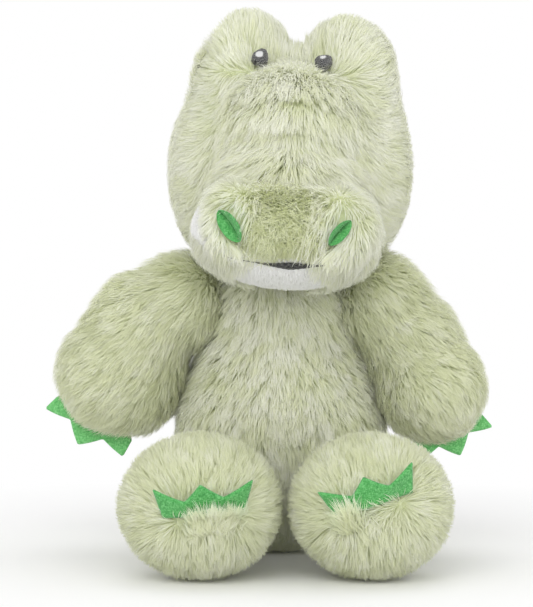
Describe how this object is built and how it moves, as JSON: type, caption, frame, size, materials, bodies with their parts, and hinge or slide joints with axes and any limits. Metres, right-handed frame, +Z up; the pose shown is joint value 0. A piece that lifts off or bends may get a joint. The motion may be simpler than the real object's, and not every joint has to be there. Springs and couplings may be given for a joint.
{
  "type": "plush crocodile",
  "caption": "Seated plush crocodile in long pale green fur, with tall eye lobes, a broad snout, felt-lined nostrils, felt claws on hands and feet, and a stuffed tail.",
  "frame": {"origin": "on the floor, in the middle of the toy's outline seen from above", "axes": "+Z up, the face looks along -Y, the toy's own left side is +X"},
  "size_m": [0.2082, 0.2524, 0.2517],
  "materials": {
    "fur": "long soft pile, pale sage green, matt with a light sheen",
    "white_pile": "short white pile",
    "felt": "bright green felt, matt",
    "thread": "dark grey embroidery thread, satin",
    "filling": "loose white polyester fibre",
    "pellets": "small plastic pellets in a plain cotton bag"
  },
  "bodies": {
    "torso": {"body_skin": "fur", "body_filling": "filling", "pellet_bag": "pellets"},
    "head": {"head_skin": "fur", "chin_panel": "white_pile", "head_filling": "filling", "left_eye": "thread", "right_eye": "thread", "left_nostril": "felt", "right_nostril": "felt", "mouth_stitch": "thread"},
    "right_arm": {"right_arm_skin": "fur", "right_arm_filling": "filling", "right_hand_claws": "felt"},
    "left_arm": {"left_arm_skin": "fur", "left_arm_filling": "filling", "left_hand_claws": "felt"},
    "right_leg": {"right_leg_skin": "fur", "right_leg_filling": "filling", "right_foot_claws": "felt"},
    "left_leg": {"left_leg_skin": "fur", "left_leg_filling": "filling", "left_foot_claws": "felt"},
    "tail": {"tail_skin": "fur", "tail_filling": "filling"}
  },
  "joints": [
    {"name": "head_turn", "type": "hinge", "parent": "torso", "child": "head", "pos_m": [0.00601, 0.00166, 0.11], "axis": [0, 0, 1], "range_deg": [-20, 20], "stiffness_Nm_per_rad": 0.25},
    {"name": "right_arm_swing", "type": "hinge", "parent": "torso", "child": "right_arm", "pos_m": [-0.03877, 0.00166, 0.1177], "axis": [-0.9744, 0, 0.225], "range_deg": [-30, 40], "stiffness_Nm_per_rad": 0.15},
    {"name": "left_arm_swing", "type": "hinge", "parent": "torso", "child": "left_arm", "pos_m": [0.0508, 0.00166, 0.1177], "axis": [-0.9744, 0, -0.225], "range_deg": [-30, 40], "stiffness_Nm_per_rad": 0.15},
    {"name": "right_leg_swing", "type": "hinge", "parent": "torso", "child": "right_leg", "pos_m": [-0.02199, -0.04228, 0.031], "axis": [-1, 0, 0], "range_deg": [-8, 20], "stiffness_Nm_per_rad": 0.25},
    {"name": "left_leg_swing", "type": "hinge", "parent": "torso", "child": "left_leg", "pos_m": [0.03401, -0.04228, 0.031], "axis": [-1, 0, 0], "range_deg": [-8, 20], "stiffness_Nm_per_rad": 0.25},
    {"name": "tail_wag", "type": "hinge", "parent": "torso", "child": "tail", "pos_m": [0.00601, 0.04717, 0.027], "axis": [0, 0, 1], "range_deg": [-25, 25], "stiffness_Nm_per_rad": 0.12}
  ]
}
